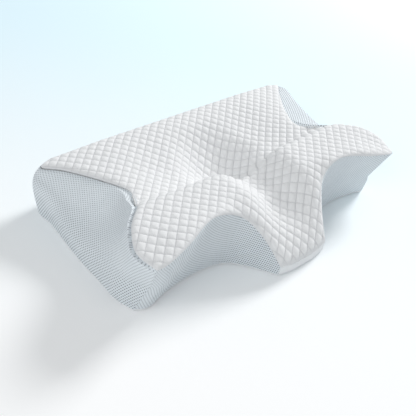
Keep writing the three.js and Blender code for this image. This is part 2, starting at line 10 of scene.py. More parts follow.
import bmesh
import bpy
import numpy as np
from mathutils import Matrix, Vector
from mathutils.geometry import delaunay_2d_cdt
from mathutils.kdtree import KDTree


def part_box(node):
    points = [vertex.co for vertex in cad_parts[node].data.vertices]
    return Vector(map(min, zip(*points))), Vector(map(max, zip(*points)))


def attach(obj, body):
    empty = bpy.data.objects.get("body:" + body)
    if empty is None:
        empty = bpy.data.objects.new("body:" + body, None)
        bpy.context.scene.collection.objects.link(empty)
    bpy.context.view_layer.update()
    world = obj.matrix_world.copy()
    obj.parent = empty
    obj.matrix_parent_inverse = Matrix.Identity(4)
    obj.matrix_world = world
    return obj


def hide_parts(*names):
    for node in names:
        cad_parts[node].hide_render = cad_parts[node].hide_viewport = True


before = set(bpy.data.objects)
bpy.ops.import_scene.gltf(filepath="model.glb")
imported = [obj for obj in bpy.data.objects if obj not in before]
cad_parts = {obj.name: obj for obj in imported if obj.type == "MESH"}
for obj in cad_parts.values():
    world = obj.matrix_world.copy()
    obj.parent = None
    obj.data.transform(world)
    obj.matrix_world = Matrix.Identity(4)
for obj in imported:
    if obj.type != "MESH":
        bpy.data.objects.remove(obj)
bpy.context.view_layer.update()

MM = 0.001

# ---- Driving dimensions, as in the CAD model ---------------------------------------------

HALF_LENGTH = 300  # half the length of the base
BACK_Y = 186  # outer face of the upright back wall
FRONT_Y = -190  # front of the neck lobe
WING_HEIGHT = 123
BACK_HEIGHT = 104
BACK_END_DROP = 7
VALLEY_HEIGHT = 80
VALLEY_END_RISE = 14
CHANNEL_DEPTH = 36
HOLLOW_DEPTH = 12
HOLLOW_Y = 20
HOLLOW_WIDTH = 62
HOLLOW_LENGTH = 32
LOBE_FALL = 98
TIP_FALL = 18
BASE_EDGE_HEIGHT = 5  # where the walls meet the rounded edge of the bottom
END_BULGE = 16  # how far the knee of an end wall stands out from the base
END_ROUNDING = 36  # how far from the back wall an end wall reaches its full bulge
END_KNEE_RISE = 83  # how much higher that knee is at the back than at the front
END_FRONT_Y = -117
END_DEPTH = 290

QUILT_THICKNESS = 4
MESH_THICKNESS = 2.5
BOTTOM_THICKNESS = 1.5
LINER_THICKNESS = 0.8
LAYER_GAP = 2.2

ZIP_HEIGHT = 23
ZIP_HALF_LENGTH = 225
TAPE_HALF_LENGTH = 258
TAPE_WIDTH = 10

# ---- Cloth, as seen ----------------------------------------------------------------------

QUILT_PITCH = 13.5  # between the sewn lines, which run at 45 degrees to the length
QUILT_PUFF = 2.2  # how far the middle of a diamond stands over its sewn lines
WALL_SPACING = 2.6  # between the columns of a wall's mesh
SEAM_DEPTH = 0.8  # how far both cloths turn in at a seam
SEAM_WIDTH = 1.0

# ---- The rim -----------------------------------------------------------------------------

# A station pairs a point of the upper seam with the point of the base under it, for x >= 0.
BACK_CORNER = ((262, 181, 93), (262, BACK_Y))
WING_TIP = ((279, -138, 100), (295, -110))
LOBE_CORNER = ((56, -185, 22), (57, -184))

SIDE_STATIONS = [
    BACK_CORNER,
    ((285, 172, 89), (298, 163)),
    ((260, 141, 91), (297, 125)),
    ((219, 82, 90), (HALF_LENGTH, 80)),
    ((201, 36, 93), (303, 40)),
    ((224, -12, 107), (304, -2)),
    ((267, -56, 116), (303, -50)),
    ((288, -98, 107), (302, -91)),
    WING_TIP,
]
ARM_STATIONS = [
    WING_TIP,
    ((262, -141, 105), (276, -119)),
    ((219, -132, 111), (234, -109)),
    ((150, -111, 119), (168, -103)),
    ((100, -119, 103), (112, -113)),
    ((73, -148, 70), (84, -142)),
    LOBE_CORNER,
]
LOBE_STATIONS = [
    LOBE_CORNER,
    ((30, FRONT_Y + 1, 19), (30, FRONT_Y + 1)),
    ((0, FRONT_Y, 18), (0, FRONT_Y)),
]

# Under each wing tip the front corner of the walls is drawn in: at the base, and by more at
# the heights given, where the walls fold.
TUCK_HEIGHTS = [BASE_EDGE_HEIGHT, 38, 50, 100]
TUCKS = {"right": (24, [0, 12, 20, 0]), "left": (0, [0, 5, 10, 0])}
TUCK_REACH = 42  # how far round the base from the corner the walls follow it
TUCK_DIRECTION = np.array([-1, 0.3, 0])
CORNER_BLEND = 40  # how far from that corner an end wall has its own shape
END_HOLES_AND_PAINTED_SHADE = {"right": 0.9, "left": 0.5}  # how dark the holes of each end's stretched mesh show; the right end's are darker as painted shade against the key light on it, the two ends being the same cloth


def ramp(value, start, end):
    """0 before start, 1 after end and a smooth ramp between; start may be larger than end."""
    share = np.clip((value - start) / (end - start), 0, 1)
    return share * share * (3 - 2 * share)


def crown_height(x, y):
    """Height of the padded top, before its edge is rounded down."""
    side = np.abs(x)
    valley = VALLEY_HEIGHT + VALLEY_END_RISE * ramp(side, 90, 200)
    back = BACK_HEIGHT - BACK_END_DROP * ramp(side, 150, 290)
    height = valley + (WING_HEIGHT - valley) * ramp(y, 12, -38)
    height = height + (back - valley) * ramp(y, 40, 160)
    half_width = 75 + 30 * np.exp(-(((y - 28) / 50) ** 2))
    length = ramp(y, FRONT_Y, -95) * (1 - ramp(y, 35, 140))
    height = height - CHANNEL_DEPTH * length * (1 - ramp(side, 5, half_width))
    down_lobe = np.maximum(0, (-85 - y) / (-85 - FRONT_Y))
    height = height - LOBE_FALL * down_lobe**1.5 * (1 - ramp(side, 95, 135))
    height = height - TIP_FALL * ramp(side, 180, 300) * ramp(y, -50, -140)
    bowl = np.exp(-((x / HOLLOW_WIDTH) ** 2) - ((y - HOLLOW_Y) / HOLLOW_LENGTH) ** 2)
    return height - HOLLOW_DEPTH * bowl


def smooth_curve(points, at):
    """Points of a centripetal Catmull-Rom curve through points; at counts in points from 0."""
    knots = np.array(points, float)
    knots = np.vstack([2 * knots[0] - knots[1], knots, 2 * knots[-1] - knots[-2]])
    gaps = np.linalg.norm(np.diff(knots, axis=0), axis=1) ** 0.5
    first = np.minimum(np.floor(at).astype(int), len(points) - 2)
    share = (np.asarray(at) - first)[:, None]
    p0, p1, p2, p3 = (knots[first + k] for k in range(4))
    g0, g1, g2 = (gaps[first + k][:, None] for k in range(3))
    leave = g1 * ((p1 - p0) / g0 - (p2 - p0) / (g0 + g1) + (p2 - p1) / g1)
    arrive = g1 * ((p2 - p1) / g1 - (p3 - p1) / (g1 + g2) + (p3 - p2) / g2)
    bend = 3 * (p2 - p1) - 2 * leave - arrive
    return p1 + share * leave + share**2 * bend + share**3 * (2 * (p1 - p2) + leave + arrive)


class Stretch:
    """A stretch of the rim: its seam and base points in pairs, with its share of the tuck."""

    def __init__(self, station, seam, base, away=math.inf, depths=(0, 0, 0, 0)):
        self.station, self.seam, self.base = station, seam, base
        self.away = np.broadcast_to(away, len(seam))  # from the corner under the wing tip
        self.tuck = np.exp(-((self.away / TUCK_REACH) ** 2))
        self.depths = depths


def stretch_of(stations, spacing, hand="right"):
    """A stretch through its stations, evenly spaced. The left ones are drawn at x > 0 too."""
    tops = [top for top, _ in stations]
    bases = [(*base, BASE_EDGE_HEIGHT) for _, base in stations]
    fine = np.linspace(0, len(stations) - 1, 60 * (len(stations) - 1) + 1)
    steps = [np.diff(smooth_curve(points, fine), axis=0) for points in (tops, bases)]
    length = np.cumsum(sum(np.linalg.norm(step, axis=1) for step in steps) / 2)
    length = np.concatenate([[0], length])
    count = round(length[-1] / spacing)
    station = np.interp(np.linspace(0, length[-1], count + 1), length, fine)
    base = smooth_curve(bases, station)
    away = np.linalg.norm(base - [*WING_TIP[1], BASE_EDGE_HEIGHT], axis=1)
    at_base, depths = TUCKS[hand]
    stretch = Stretch(station, smooth_curve(tops, station), base, away, depths)
    stretch.base = base + stretch.tuck[:, None] * at_base * TUCK_DIRECTION
    stretch.openness = END_HOLES_AND_PAINTED_SHADE[hand]
    return stretch


def back_stretch(spacing):
    """The straight back, from one back corner to the other."""
    half, seam_y, seam_z = BACK_CORNER[0]
    x = np.linspace(-half, half, 2 * round(half / spacing) + 1)
    seam = np.stack(np.broadcast_arrays(x, seam_y, seam_z), axis=1).astype(float)
    base = np.stack(np.broadcast_arrays(x, BACK_Y, BASE_EDGE_HEIGHT), axis=1).astype(float)
    return Stretch(x, seam, base)


# ---- The walls ---------------------------------------------------------------------------


def conic(start, knee, end, pull, along):
    """A conic from start to end, drawn towards knee: a larger pull gives a tighter bend."""
    weights = (1 - along) ** 2, 2 * pull * (1 - along) * along, along**2
    return (weights[0] * start + weights[1] * knee + weights[2] * end) / sum(weights)


def back_knee(seam, base):
    return np.column_stack([base[:, 0], np.full(len(base), BACK_Y), np.full(len(base), 80)])


def end_knee(seam, base):
    """The end wall's fold, which falls from the back corner to the front corner."""
    towards_back = np.clip((base[:, 1] - END_FRONT_Y) / END_DEPTH, 0, 1)
    bulge = END_BULGE * ramp(base[:, 1], BACK_Y, BACK_Y - END_ROUNDING)
    height = BASE_EDGE_HEIGHT + END_KNEE_RISE * towards_back
    return np.column_stack([base[:, 0] + bulge, base[:, 1], height])


def arm_knee(seam, base):
    knee = (seam + base) / 2
    knee[:, 1] -= 3 * ramp(seam[:, 2], 20, 60)
    return knee


WALLS = {"back": (back_knee, 2.5), "end": (end_knee, 2.5), "arm": (arm_knee, 1)}


def wall_grid(stretch, kind, rows):
    """Points of a wall, [column, row]; rows are shares of the way down, alike or per column."""
    find_knee, pull = WALLS[kind]
    knee = find_knee(stretch.seam, stretch.base)[:, None]
    along = np.linspace(0, 1, 121)[None, :, None]
    fine = conic(stretch.seam[:, None], knee, stretch.base[:, None], pull, along)
    if kind == "end":
        # towards the front corner it takes on the shape of the front wall
        front_knee = arm_knee(stretch.seam, stretch.base)[:, None]
        front = conic(stretch.seam[:, None], front_knee, stretch.base[:, None], 1, along)
        blend = ramp(stretch.away, 0, CORNER_BLEND)[:, None, None]
        fine = fine * blend + front * (1 - blend)
    depth = np.interp(fine[:, :, 2], TUCK_HEIGHTS, stretch.depths) * stretch.tuck[:, None]
    fine = fine + depth[..., None] * TUCK_DIRECTION
    down = lengths(fine, 1)
    rows = np.broadcast_to(rows, (len(fine), np.shape(rows)[-1]))
    grid = np.empty((*rows.shape, 3))
    for column in range(len(fine)):
        for axis in range(3):
            at = rows[column] * down[column, -1]
            grid[column, :, axis] = np.interp(at, down[column], fine[column, :, axis])
    return grid


def lengths(grid, axis):
    """Running length along one axis of a grid of points."""
    steps = np.linalg.norm(np.diff(grid, axis=axis), axis=2)
    pad = [(0, 0), (0, 0)]
    pad[axis] = (1, 0)
    return np.cumsum(np.pad(steps, pad), axis=axis)


def grid_normals(grid):
    """Unit normals of a grid of points, facing away from the middle of the pillow."""
    normals = np.cross(np.gradient(grid, axis=0), np.gradient(grid, axis=1))
    normals /= np.linalg.norm(normals, axis=2, keepdims=True) + 1e-9
    outward = np.sum(normals * (grid - [0, 0, 50]), axis=2).mean()
    return normals if outward > 0 else -normals


# ---- Meshes ------------------------------------------------------------------------------


def quads(rows, columns, wrap=False):
    """Faces of a grid of rows x columns points, numbered row by row."""
    faces = []
    for i in range(rows - 1):
        for j in range(columns if wrap else columns - 1):
            k = (j + 1) % columns
            faces.append((i * columns + j, i * columns + k, (i + 1) * columns + k, (i + 1) * columns + j))
    return faces


def make_piece(name, points, faces, attributes=None):
    """A smooth-shaded mesh object from points in millimetres, with its faces facing out."""
    mesh = bpy.data.meshes.new(name)
    mesh.from_pydata((np.asarray(points) * MM).tolist(), [], faces)
    for key, values in (attributes or {}).items():
        layer = mesh.attributes.new(key, "FLOAT_VECTOR", "POINT")
        layer.data.foreach_set("vector", np.asarray(values, float).ravel())
    build = bmesh.new()
    build.from_mesh(mesh)
    bmesh.ops.recalc_face_normals(build, faces=build.faces)
    build.to_mesh(mesh)
    build.free()
    mesh.shade_smooth()
    piece = bpy.data.objects.new(name, mesh)
    bpy.context.collection.objects.link(piece)
    return piece


def shell(name, outer, inner, weave):
    """A closed sheet of cloth between two grids of points."""
    rows, columns = outer.shape[:2]
    count = rows * columns
    faces = quads(rows, columns)
    faces += [tuple(count + v for v in reversed(face)) for face in quads(rows, columns)]
    top = [j for j in range(columns)]
    bottom = [(rows - 1) * columns + j for j in range(columns)]
    left = [i * columns for i in range(rows)]
    right = [i * columns + columns - 1 for i in range(rows)]
    for border in (top, bottom[::-1], left[::-1], right):
        for a, b in zip(border, border[1:]):
            faces.append((b, a, count + a, count + b))
    points = np.concatenate([outer.reshape(-1, 3), inner.reshape(-1, 3)])
    flat = np.concatenate([weave.reshape(-1, 3)] * 2)
    return make_piece(name, points, faces, {"weave": flat})


def dress(piece, body, material, nodes):
    """Puts a piece on its body, in place of its CAD nodes, with its material."""
    piece.data.materials.clear()
    piece.data.materials.append(material)
    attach(piece, body)
    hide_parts(*nodes)
    return piece


# ---- Materials ---------------------------------------------------------------------------


class Shader:
    """A material and its nodes. A value given to a node is a number, a colour or an output."""

    def __init__(self, name, **constants):
        self.material = bpy.data.materials.new(name)
        self.material.use_nodes = True
        self.tree = self.material.node_tree
        self.surface = self.tree.nodes["Principled BSDF"]
        for key, value in constants.items():
            self.surface.inputs[key.replace("_", " ")].default_value = value

    def give(self, socket, value):
        if isinstance(value, bpy.types.NodeSocket):
            self.tree.links.new(value, socket)
        else:
            socket.default_value = value

    def node(self, kind, inputs, **settings):
        node = self.tree.nodes.new(kind)
        for key, value in settings.items():
            setattr(node, key, value)
        for key, value in inputs.items():
            self.give(node.inputs[key], value)
        return node

    def maths(self, operation, *values):
        node = self.tree.nodes.new("ShaderNodeMath")
        node.operation = operation
        for socket, value in zip(node.inputs, values):
            self.give(socket, value)
        return node.outputs[0]

    def wave(self, coordinate, period):
        """A cosine from 0 to 1 along a coordinate, 1 at its multiples of the period."""
        turn = self.maths("MULTIPLY", coordinate, 2 * math.pi / period)
        return self.maths("MULTIPLY_ADD", self.maths("COSINE", turn), 0.5, 0.5)

    def step(self, value, low, high):
        """0 below low, 1 above high and smooth between."""
        inputs = {"Value": value, "From Min": low, "From Max": high}
        node = self.node("ShaderNodeMapRange", inputs, interpolation_type="SMOOTHSTEP")
        return node.outputs["Result"]

    def noise(self, vector, scale, detail=2.0):
        node = self.node("ShaderNodeTexNoise", {"Vector": vector, "Scale": scale, "Detail": detail})
        return node.outputs["Fac"]

    def mix(self, share, low, high):
        """A colour between low and high."""
        low = low if isinstance(low, bpy.types.NodeSocket) else (*low, 1)
        inputs = {"Factor": share, 6: low, 7: (*high, 1)}
        return self.node("ShaderNodeMix", inputs, data_type="RGBA").outputs[2]

    def bump(self, height, distance, strength=1.0, normal=None):
        inputs = {"Height": height, "Distance": distance * MM, "Strength": strength}
        if normal:
            inputs["Normal"] = normal
        return self.node("ShaderNodeBump", inputs).outputs["Normal"]

    def weave(self):
        """The cloth's own coordinates in millimetres: across, along and a third value."""
        vector = self.node("ShaderNodeAttribute", {}, attribute_name="weave").outputs["Vector"]
        parts = self.node("ShaderNodeSeparateXYZ", {"Vector": vector})
        return vector, *parts.outputs[:3]

    def place(self):
        """The place on the object, in metres."""
        return self.node("ShaderNodeTexCoord", {}).outputs["Object"]

    def finish(self, color, roughness=None, normal=None):
        self.give(self.surface.inputs["Base Color"], color)
        if roughness is not None:
            self.give(self.surface.inputs["Roughness"], roughness)
        if normal is not None:
            self.give(self.surface.inputs["Normal"], normal)
        return self.material


def quilted_cloth():
    """White knitted jacquard: fine stitches, a sewn line round each diamond, soft sheen, and painted shade
    in the low grooves along the sewn lines.
    """
    shader = Shader("quilted_cloth", Roughness=0.9, Sheen_Weight=0.12, Sheen_Roughness=0.5)
    vector, across, along, puff = shader.weave()
    stitches = shader.maths("MULTIPLY", shader.wave(across, 0.9), shader.wave(along, 0.9))
    lines = shader.wave(across, QUILT_PITCH), shader.wave(along, QUILT_PITCH)
    sewn = shader.step(shader.maths("MAXIMUM", *lines), 0.982, 0.998)
    dashes = shader.maths("MAXIMUM", shader.wave(across, 3), shader.wave(along, 3))
    holes = shader.maths("MULTIPLY", sewn, shader.step(dashes, 0.75, 0.95))
    puckers = shader.noise(shader.place(), 330, 2)
    cloudy = shader.noise(shader.place(), 30, 3)
    cloth = shader.mix(cloudy, (0.80, 0.805, 0.812), (0.86, 0.862, 0.866))
    # painted shade: the cloth is darkened where the puff falls low along the sewn lines, standing in for the
    # shade in the grooves
    painted_groove_shade = shader.maths("MULTIPLY", 0.32, shader.step(puff, 0.5, 0))
    cloth_with_painted_shade = shader.mix(painted_groove_shade, cloth, (0.58, 0.59, 0.61))
    color = shader.mix(shader.maths("MULTIPLY", holes, 0.2), cloth_with_painted_shade, (0.45, 0.46, 0.48))
    crumple = shader.bump(puckers, 1.1, 0.5)
    fine = shader.bump(stitches, 0.12, 0.5, crumple)
    normal = shader.bump(holes, -0.5, 0.6, fine)
    return shader.finish(color, shader.maths("MULTIPLY_ADD", cloudy, 0.1, 0.84), normal)


def air_mesh():
    """Knitted spacer mesh: pale blue-grey yarn round rows of small dark holes."""
    shader = Shader("air_mesh", Roughness=0.85, Sheen_Weight=0.1, Sheen_Roughness=0.6)
    vector, across, along, hole_tone_and_painted_shade = shader.weave()
    rows = shader.wave(across, 4.0)
    columns = shader.wave(along, 3.5)
    both = shader.maths("MULTIPLY", rows, 0.56), shader.maths("MULTIPLY", columns, 0.44)
    hole = shader.step(shader.maths("ADD", *both), 0.52, 0.9)
    # how dark the holes show at each point comes from the weave's third value, which carries painted shade
    # on the end and front panels
    dark_holes_and_painted_shade = shader.maths("MULTIPLY", hole, hole_tone_and_painted_shade)
    strand = shader.wave(shader.maths("ADD", across, along), 0.8)
    cloudy = shader.noise(shader.place(), 25, 3)
    yarn = shader.mix(cloudy, (0.72, 0.775, 0.812), (0.80, 0.85, 0.885))
    color = shader.mix(dark_holes_and_painted_shade, yarn, (0.13, 0.15, 0.18))
    relief = shader.maths("SUBTRACT", shader.maths("MULTIPLY", strand, 0.15), dark_holes_and_painted_shade)
    return shader.finish(color, None, shader.bump(relief, 0.8, 0.7))


def ribbed_cloth(name, low, high, period, **constants):
    """Plain knitted or woven cloth with fine ribs."""
    shader = Shader(name, **constants)
    vector, across, along, _ = shader.weave()
    ribs = shader.wave(across, period)
    picks = shader.wave(along, period * 0.7)
    cloudy = shader.noise(shader.place(), 40, 3)
    relief = shader.maths("MULTIPLY", ribs, picks)
    return shader.finish(shader.mix(cloudy, low, high), None, shader.bump(relief, 0.15, 0.6))


def memory_foam():
    """Cream foam with open pores of several sizes."""
    shader = Shader("memory_foam", Roughness=0.95)
    place = shader.place()
    pores = shader.node("ShaderNodeTexVoronoi", {"Vector": place, "Scale": 900.0}).outputs["Distance"]
    # painted shade: the pores are painted darker in their depths
    deep = shader.step(pores, 0.35, 0.1)
    color = shader.mix(shader.noise(place, 60, 4), (0.86, 0.8, 0.64), (0.93, 0.88, 0.74))
    return shader.finish(shader.mix(deep, color, (0.62, 0.55, 0.4)), None, shader.bump(deep, -0.4, 0.5))


def zip_coil():
    """Moulded nylon, a little uneven in tone and gloss."""
    shader = Shader("zip_coil", Roughness=0.4)
    cloudy = shader.noise(shader.place(), 400, 4)
    color = shader.mix(cloudy, (0.74, 0.75, 0.77), (0.84, 0.85, 0.87))
    return shader.finish(color, shader.maths("MULTIPLY_ADD", cloudy, 0.3, 0.3))


def zip_metal():
    """Nickel-plated metal, brushed along its length, duller in its scratches."""
    shader = Shader("zip_metal", Metallic=1.0)
    inputs = {"Vector": shader.place(), "Scale": (60, 900, 900)}
    stretched = shader.node("ShaderNodeMapping", inputs).outputs[0]
    brushed = shader.noise(stretched, 2.0, 5)
    color = shader.mix(brushed, (0.56, 0.56, 0.57), (0.72, 0.72, 0.73))
    roughness = shader.maths("MULTIPLY_ADD", brushed, 0.25, 0.18)
    return shader.finish(color, roughness, shader.bump(brushed, 0.05, 0.4))


SMOOTH_WHITE = ((0.80, 0.82, 0.84), (0.88, 0.89, 0.9))
materials = {
    "quilted_cloth": quilted_cloth(),
    "air_mesh": air_mesh(),
    "smooth_cloth": ribbed_cloth("smooth_cloth", *SMOOTH_WHITE, 1.0, Roughness=0.8, Sheen_Weight=0.15),
    "liner_cloth": ribbed_cloth("liner_cloth", (0.83, 0.82, 0.78), (0.9, 0.89, 0.86), 1.3, Roughness=0.9),
    "memory_foam": memory_foam(),
    "zip_tape": ribbed_cloth("zip_tape", (0.78, 0.8, 0.82), (0.86, 0.87, 0.88), 0.8, Roughness=0.7),
    "zip_coil": zip_coil(),
    "zip_metal": zip_metal(),
    "label_cloth": ribbed_cloth("label_cloth", (0.88, 0.88, 0.87), (0.93, 0.93, 0.92), 0.5, Roughness=0.45),
}

# ---- The quilted top ---------------------------------------------------------------------

HANDS = ("right", "left")
side = {hand: stretch_of(SIDE_STATIONS, WALL_SPACING, hand) for hand in HANDS}
arm = {hand: stretch_of(ARM_STATIONS, WALL_SPACING, hand) for hand in HANDS}
lobe = stretch_of(LOBE_STATIONS, WALL_SPACING)
MIRROR = np.array([-1, 1, 1])


def rim_outline(spacing):
    """The upper seam, once round, anticlockwise from the right back corner."""
    half = (SIDE_STATIONS, ARM_STATIONS, LOBE_STATIONS)
    right = [stretch_of(stations, spacing).seam[:-1] for stations in half]
    right = np.concatenate(right + [[LOBE_STATIONS[-1][0]]])[::-1]
    # clockwise from the middle of the lobe to the right back corner, then along the back
    back = back_stretch(spacing * 1.5).seam[::-1]
    left = (right * MIRROR)[::-1]
    return np.concatenate([right, back[1:-1], left[:-1]])


def outline_distance(points, outline):
    """Distance of points to the outline in plan, and the outline points next to them."""
    tree = KDTree(len(outline))
    for index, (x, y) in enumerate(outline[:, :2]):
        tree.insert((x, y, 0), index)
    tree.balance()
    nearest = np.array([tree.find((x, y, 0))[1] for x, y in points[:, :2]])
    best = np.full(len(points), 1e9)
    for turn in (-1, 0):
        a = outline[(nearest + turn) % len(outline), :2]
        b = outline[(nearest + turn + 1) % len(outline), :2]
        edge = b - a
        share = np.clip(np.sum((points[:, :2] - a) * edge, axis=1) / np.sum(edge**2, axis=1), 0, 1)
        best = np.minimum(best, np.linalg.norm(points[:, :2] - a - share[:, None] * edge, axis=1))
    return best, nearest


def inset_ring(outline, distance):
    """The outline moved inwards, without the points that come too near another side."""
    tangent = np.roll(outline[:, :2], -1, axis=0) - np.roll(outline[:, :2], 1, axis=0)
    inward = np.column_stack([-tangent[:, 1], tangent[:, 0]])
    inward /= np.linalg.norm(inward, axis=1, keepdims=True)
    ring = outline[:, :2] + inward * distance
    away, _ = outline_distance(ring, outline)
    return ring[away > 0.93 * distance]


def top_surface(points, outline, distance, nearest):
    """Height of the top over points: the crown, rounded down to its seam."""
    seam = outline[nearest]
    overshoot = crown_height(outline[:, 0], outline[:, 1]) - outline[:, 2]
    smooth = np.mean([np.roll(overshoot, k) for k in range(-6, 7)], axis=0)
    share = ramp(distance, 0, 8)
    drop = overshoot[nearest] * (1 - share) + smooth[nearest] * share
    radius = 14 + 16 * ramp(seam[:, 1], 150, 180)
    in_edge = np.maximum(0, 1 - distance / radius)
    return crown_height(points[:, 0], points[:, 1]) - drop * (1 - np.sqrt(1 - in_edge**2))


# Places of the mesh lines across one diamond, closer together next to its sewn lines.
CELL_STEPS = np.array([0, 0.07, 0.19, 0.38, 0.62, 0.81, 0.93])
EDGE_RINGS = [0.45, 1.1, 2.1, 3.6]


def diagonal_lattice(steps):
    """Points of a lattice along the two sewn directions, over the whole pillow."""
    count = math.ceil(HALF_LENGTH * 1.25 / QUILT_PITCH)
    line = (np.arange(-count, count + 1)[:, None] + steps[None, :]).ravel() * QUILT_PITCH
    a, b = (v.ravel() for v in np.meshgrid(line, line))
    return np.column_stack([(a - b), (a + b)]) / math.sqrt(2)


def inside(points, outline):
    """Which points lie inside the outline in plan."""
    x, y = points[:, 0], points[:, 1]
    crossings = np.zeros(len(points), int)
    for (x0, y0), (x1, y1) in zip(outline[:, :2], np.roll(outline[:, :2], -1, axis=0)):
        if y0 != y1:
            spans = (y0 > y) != (y1 > y)
            crossings += spans & (x < (x1 - x0) * (y - y0) / (y1 - y0) + x0)
    return crossings % 2 == 1


def triangulate(outline, points):
    """Triangles over the outline and the points inside it; the outline's points come first."""
    flat = np.concatenate([outline[:, :2], points])
    ring = list(range(len(outline)))
    found = delaunay_2d_cdt([Vector(p) for p in flat], [], [ring], 1, 1e-6)
    triangles, sources = found[2], found[3]
    return flat, [tuple(sources[v][0] for v in face) for face in triangles]


def quilt_arches(plan):
    """For each of the two sets of sewn lines: 0 on its lines and 1 midway between them."""
    a = (plan[:, 0] + plan[:, 1]) / math.sqrt(2) / QUILT_PITCH
    b = (plan[:, 1] - plan[:, 0]) / math.sqrt(2) / QUILT_PITCH
    return np.abs(np.sin(np.pi * a)) ** 0.7, np.abs(np.sin(np.pi * b)) ** 0.7


def quilt_puff(plan):
    """0 on the tighter sewn lines of the quilting and 1 in the middle of each diamond."""
    over_a, over_b = quilt_arches(plan)
    return over_b * (0.35 + 0.65 * over_a)


def vertex_normals(piece):
    normals = np.empty(len(piece.data.vertices) * 3)
    piece.data.vertex_normals.foreach_get("vector", normals)
    return normals.reshape(-1, 3)


# The top's cloth is simulated, larger than life, from a form with a little of the puff in it.
SIM_SCALE = 30
SIM_FRAMES = 14
SIM_PRESSURE = 22.0
SIM_GROWTH = 0.05  # how much longer the cloth is than the padding under it, as it is sewn
PUFF_START = 0.3  # share of the puff that the sewing pattern starts from
PUFF_CAP = 1.35  # and the share that the cloth never passes
SIDEWAYS_CAP = 0.4  # the most that a point of it may move sideways
PUFF_LEVEL = 0.35  # share of the puff that lies at the height of the smooth top
EDGE_FADE = 7  # the puff comes up over this distance from the seam


def sewn_cloth(points, faces, hold):
    """Cloth blown up by its padding between the lines that hold it: where its points settle."""
    sheet = make_piece("quilt_in_the_making", points * SIM_SCALE, faces)
    sewn = sheet.vertex_groups.new(name="sewn")
    for index in np.flatnonzero(hold > 0.02):
        sewn.add([int(index)], float(hold[index]), "REPLACE")
    cloth = sheet.modifiers.new("cloth", "CLOTH")
    cloth.point_cache.frame_start = 1
    cloth.point_cache.frame_end = SIM_FRAMES
    settings = cloth.settings
    settings.quality = 5
    settings.mass = 0.3
    settings.tension_stiffness = 18
    settings.compression_stiffness = 18
    settings.shear_stiffness = 8
    settings.bending_stiffness = 0.6
    settings.air_damping = 3
    settings.vertex_group_mass = "sewn"
    settings.pin_stiffness = 20
    settings.shrink_min = -SIM_GROWTH
    settings.use_pressure = True
    settings.uniform_pressure_force = SIM_PRESSURE
    settings.effector_weights.gravity = 0
    cloth.collision_settings.use_collision = False
    scene = bpy.context.scene
    for moment in range(1, SIM_FRAMES + 1):
        scene.frame_set(moment)
    settled = sheet.evaluated_get(bpy.context.evaluated_depsgraph_get()).data
    found = np.empty(len(points) * 3)
    settled.vertices.foreach_get("co", found)
    scene.frame_set(1)
    bpy.data.objects.remove(sheet)
    return found.reshape(-1, 3) / SIM_SCALE / MM


def top_outside(plan, faces, distance, smooth, normals):
    edge = ramp(distance, 0.5, EDGE_FADE)
    puff = quilt_puff(plan) * edge
    height = QUILT_PUFF * (puff - PUFF_LEVEL) * ramp(distance, 0, 6)
    height = height - SEAM_DEPTH * np.exp(-((distance / SEAM_WIDTH) ** 2))
    start = smooth + normals * (height - QUILT_PUFF * (1 - PUFF_START) * puff)[:, None]
    loose = np.minimum(*quilt_arches(plan)) * edge
    moved = sewn_cloth(start, faces, 1 - ramp(loose, 0.02, 0.3)) - start
    upwards = np.sum(moved * normals, axis=1)
    rise = np.clip(upwards, 0, QUILT_PUFF * (PUFF_CAP - PUFF_START))
    sideways = np.clip(moved - normals * upwards[:, None], -SIDEWAYS_CAP, SIDEWAYS_CAP)
    return start + normals * rise[:, None] + sideways, puff


def quilted_top():
    outline = rim_outline(1.6)
    lattice = diagonal_lattice(CELL_STEPS)
    lattice = lattice[inside(lattice, outline)]
    away, _ = outline_distance(lattice, outline)
    rings = [inset_ring(outline, distance) for distance in EDGE_RINGS]
    lattice = lattice[away > EDGE_RINGS[-1] + 0.8]
    plan, faces = triangulate(outline, np.concatenate([*rings, lattice]))
    distance, nearest = outline_distance(plan, outline)
    smooth = np.column_stack([plan, top_surface(plan, outline, distance, nearest)])
    draft = make_piece("draft", smooth, faces)
    normals = vertex_normals(draft)
    if normals[:, 2].mean() < 0:
        normals = -normals
    bpy.data.objects.remove(draft)
    outer, puff = top_outside(plan, faces, distance, smooth, normals)

    inner_lattice = diagonal_lattice(np.array([0.0]))
    inner_lattice = inner_lattice[inside(inner_lattice, outline)]
    away, _ = outline_distance(inner_lattice, outline)
    inner_plan, inner_faces = triangulate(outline, inner_lattice[away > 6])
    inner_distance, inner_nearest = outline_distance(inner_plan, outline)
    inner = np.column_stack([inner_plan, top_surface(inner_plan, outline, inner_distance, inner_nearest)])
    inner[:, 2] -= QUILT_THICKNESS
    rim = slice(0, len(outline))
    inner[rim] = outer[rim] - normals[rim] * (QUILT_THICKNESS - SEAM_DEPTH)

    count = len(outer)
    all_faces = list(faces) + [tuple(count + v for v in reversed(face)) for face in inner_faces]
    for i in range(len(outline)):
        j = (i + 1) % len(outline)
        all_faces.append((i, j, count + j, count + i))
    across = (plan[:, 0] + plan[:, 1]) / math.sqrt(2)
    along = (plan[:, 1] - plan[:, 0]) / math.sqrt(2)
    outer_weave = np.column_stack([across, along, puff])
    inner_weave = np.column_stack([inner_plan, np.ones(len(inner_plan))])
    weave = np.concatenate([outer_weave, inner_weave])
    piece = make_piece("quilted_top_cloth", np.concatenate([outer, inner]), all_faces, {"weave": weave})
    return dress(piece, "pillow", materials["quilted_cloth"], ["quilted_top"])


top = quilted_top()

# ---- The walls' cloths -------------------------------------------------------------------

ROWS = (1 - np.cos(np.pi * np.linspace(0, 1, 46))) / 2
BIAS = math.radians(37)  # the end panels' mesh runs this far off the pillow's depth


def seam_tuck(distance):
    return -SEAM_DEPTH * np.exp(-((distance / SEAM_WIDTH) ** 2))


